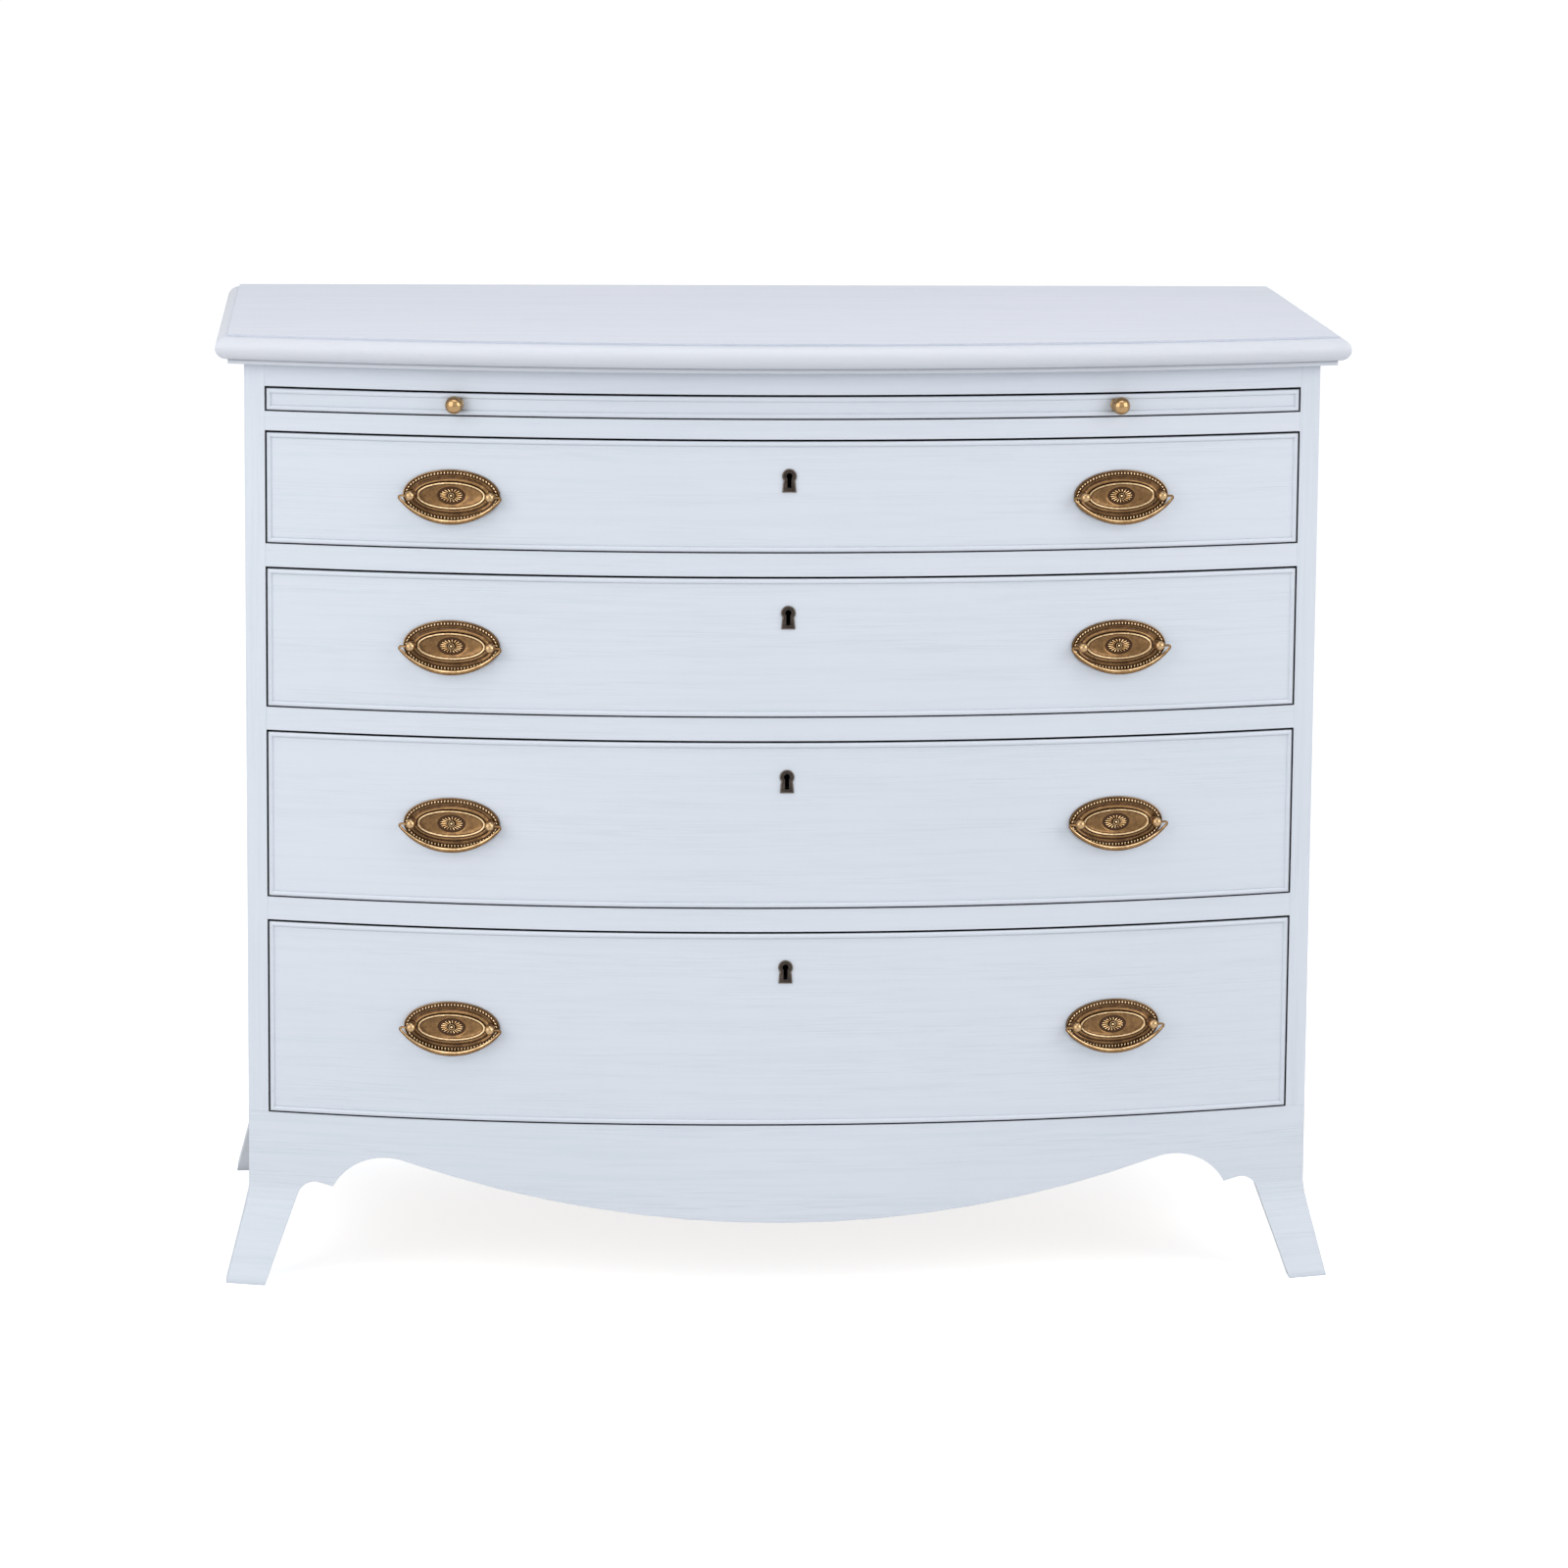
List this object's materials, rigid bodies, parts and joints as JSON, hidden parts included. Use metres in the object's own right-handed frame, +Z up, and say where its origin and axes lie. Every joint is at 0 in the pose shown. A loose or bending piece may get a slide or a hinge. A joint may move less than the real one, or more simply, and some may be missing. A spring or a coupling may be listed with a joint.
{
  "type": "bow front chest of drawers",
  "caption": "Bow-fronted chest of graduated drawers with a brushing slide, shaped apron, splayed bracket feet and oval swing-bail handles.",
  "frame": {"origin": "middle of the overall width and depth, on the floor", "axes": "+X to the right as seen from the front, along the width; drawers open towards -Y; +Z up"},
  "size_m": [1, 0.5669, 0.851],
  "materials": {
    "painted_oak": "pale blue-white satin paint over open-grained oak",
    "bare_oak": "clear-sealed light oak, satin",
    "antique_brass": "aged cast brass, dark in its hollows and rubbed bright on its edges",
    "polished_brass": "polished brass, lightly aged",
    "lock_steel": "satin steel"
  },
  "bodies": {
    "case": {"top_board": "painted_oak", "side_left": "painted_oak", "side_right": "painted_oak", "back_panel": "bare_oak", "bottom_board": "bare_oak", "frieze_rail": "painted_oak", "slide_rail": "painted_oak", "rail_1": "painted_oak", "rail_2": "painted_oak", "rail_3": "painted_oak", "runners": "bare_oak", "drawer_stops": "bare_oak", "base_front": "painted_oak", "base_left": "painted_oak", "base_right": "painted_oak", "base_back": "painted_oak", "glue_blocks": "bare_oak"},
    "brushing_slide": {"slide_board": "painted_oak", "slide_front": "painted_oak", "slide_knobs": "polished_brass"},
    "drawer_1": {"drawer_1_front": "painted_oak", "drawer_1_bead": "painted_oak", "drawer_1_sides": "bare_oak", "drawer_1_back": "bare_oak", "drawer_1_bottom": "bare_oak", "drawer_1_brasses": "antique_brass", "drawer_1_lock": "lock_steel"},
    "bolt_1": {"drawer_1_bolt": "polished_brass"},
    "bail_1_left": {"drawer_1_bail_left": "antique_brass"},
    "bail_1_right": {"drawer_1_bail_right": "antique_brass"},
    "drawer_2": {"drawer_2_front": "painted_oak", "drawer_2_bead": "painted_oak", "drawer_2_sides": "bare_oak", "drawer_2_back": "bare_oak", "drawer_2_bottom": "bare_oak", "drawer_2_brasses": "antique_brass", "drawer_2_lock": "lock_steel"},
    "bolt_2": {"drawer_2_bolt": "polished_brass"},
    "bail_2_left": {"drawer_2_bail_left": "antique_brass"},
    "bail_2_right": {"drawer_2_bail_right": "antique_brass"},
    "drawer_3": {"drawer_3_front": "painted_oak", "drawer_3_bead": "painted_oak", "drawer_3_sides": "bare_oak", "drawer_3_back": "bare_oak", "drawer_3_bottom": "bare_oak", "drawer_3_brasses": "antique_brass", "drawer_3_lock": "lock_steel"},
    "bolt_3": {"drawer_3_bolt": "polished_brass"},
    "bail_3_left": {"drawer_3_bail_left": "antique_brass"},
    "bail_3_right": {"drawer_3_bail_right": "antique_brass"},
    "drawer_4": {"drawer_4_front": "painted_oak", "drawer_4_bead": "painted_oak", "drawer_4_sides": "bare_oak", "drawer_4_back": "bare_oak", "drawer_4_bottom": "bare_oak", "drawer_4_brasses": "antique_brass", "drawer_4_lock": "lock_steel"},
    "bolt_4": {"drawer_4_bolt": "polished_brass"},
    "bail_4_left": {"drawer_4_bail_left": "antique_brass"},
    "bail_4_right": {"drawer_4_bail_right": "antique_brass"}
  },
  "joints": [
    {"name": "brushing_slide_travel", "type": "slide", "parent": "case", "child": "brushing_slide", "axis": [0, -1, 0], "range_m": [0, 0.28]},
    {"name": "drawer_1_travel", "type": "slide", "parent": "case", "child": "drawer_1", "axis": [0, -1, 0], "range_m": [0, 0.33]},
    {"name": "bolt_1_throw", "type": "slide", "parent": "drawer_1", "child": "bolt_1", "axis": [0, 0, 1], "range_m": [0, 0.007]},
    {"name": "bail_1_left_swing", "type": "hinge", "parent": "drawer_1", "child": "bail_1_left", "pos_m": [-0.29572, -0.23904, 0.7135], "axis": [-0.9816, 0.1907, 0], "range_deg": [-6, 120]},
    {"name": "bail_1_right_swing", "type": "hinge", "parent": "drawer_1", "child": "bail_1_right", "pos_m": [0.29572, -0.23904, 0.7135], "axis": [-0.9816, -0.1907, 0], "range_deg": [-6, 120]},
    {"name": "drawer_2_travel", "type": "slide", "parent": "case", "child": "drawer_2", "axis": [0, -1, 0], "range_m": [0, 0.33]},
    {"name": "bolt_2_throw", "type": "slide", "parent": "drawer_2", "child": "bolt_2", "axis": [0, 0, 1], "range_m": [0, 0.007]},
    {"name": "bail_2_left_swing", "type": "hinge", "parent": "drawer_2", "child": "bail_2_left", "pos_m": [-0.29572, -0.23904, 0.5805], "axis": [-0.9816, 0.1907, 0], "range_deg": [-6, 120]},
    {"name": "bail_2_right_swing", "type": "hinge", "parent": "drawer_2", "child": "bail_2_right", "pos_m": [0.29572, -0.23904, 0.5805], "axis": [-0.9816, -0.1907, 0], "range_deg": [-6, 120]},
    {"name": "drawer_3_travel", "type": "slide", "parent": "case", "child": "drawer_3", "axis": [0, -1, 0], "range_m": [0, 0.33]},
    {"name": "bolt_3_throw", "type": "slide", "parent": "drawer_3", "child": "bolt_3", "axis": [0, 0, 1], "range_m": [0, 0.007]},
    {"name": "bail_3_left_swing", "type": "hinge", "parent": "drawer_3", "child": "bail_3_left", "pos_m": [-0.29572, -0.23904, 0.4225], "axis": [-0.9816, 0.1907, 0], "range_deg": [-6, 120]},
    {"name": "bail_3_right_swing", "type": "hinge", "parent": "drawer_3", "child": "bail_3_right", "pos_m": [0.29572, -0.23904, 0.4225], "axis": [-0.9816, -0.1907, 0], "range_deg": [-6, 120]},
    {"name": "drawer_4_travel", "type": "slide", "parent": "case", "child": "drawer_4", "axis": [0, -1, 0], "range_m": [0, 0.33]},
    {"name": "bolt_4_throw", "type": "slide", "parent": "drawer_4", "child": "bolt_4", "axis": [0, 0, 1], "range_m": [0, 0.007]},
    {"name": "bail_4_left_swing", "type": "hinge", "parent": "drawer_4", "child": "bail_4_left", "pos_m": [-0.29572, -0.23904, 0.2395], "axis": [-0.9816, 0.1907, 0], "range_deg": [-6, 120]},
    {"name": "bail_4_right_swing", "type": "hinge", "parent": "drawer_4", "child": "bail_4_right", "pos_m": [0.29572, -0.23904, 0.2395], "axis": [-0.9816, -0.1907, 0], "range_deg": [-6, 120]}
  ]
}
